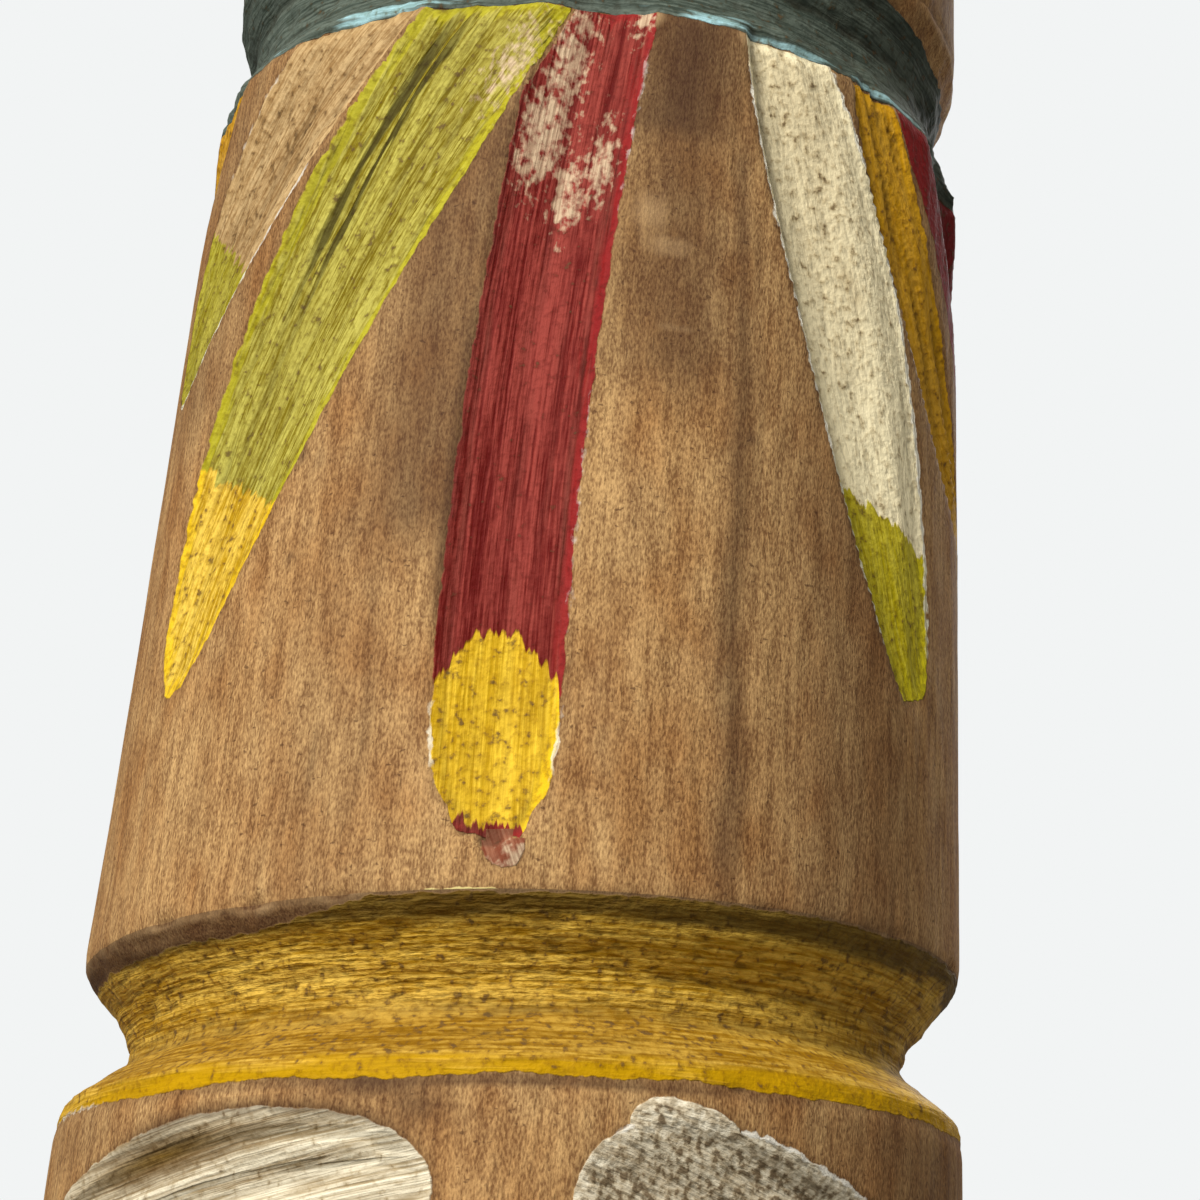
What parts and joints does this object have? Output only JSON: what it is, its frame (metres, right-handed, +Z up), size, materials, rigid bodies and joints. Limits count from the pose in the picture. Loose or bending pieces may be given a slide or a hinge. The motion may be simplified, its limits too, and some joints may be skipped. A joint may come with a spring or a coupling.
{
  "type": "carved totem pole",
  "caption": "Small carved and painted wooden souvenir totem pole, turned into drums with coves between, standing on its flat round foot.",
  "frame": {"origin": "centre of the underside of the foot", "axes": "+Z up along the pole, -Y towards the carved front, +X to the viewer's right"},
  "size_m": [0.08, 0.08, 0.3],
  "materials": {
    "painted_wood": "stained hardwood, hand painted in the carved strokes and coves, worn"
  },
  "bodies": {
    "root": {"totem_pole": "painted_wood"}
  },
  "joints": []
}
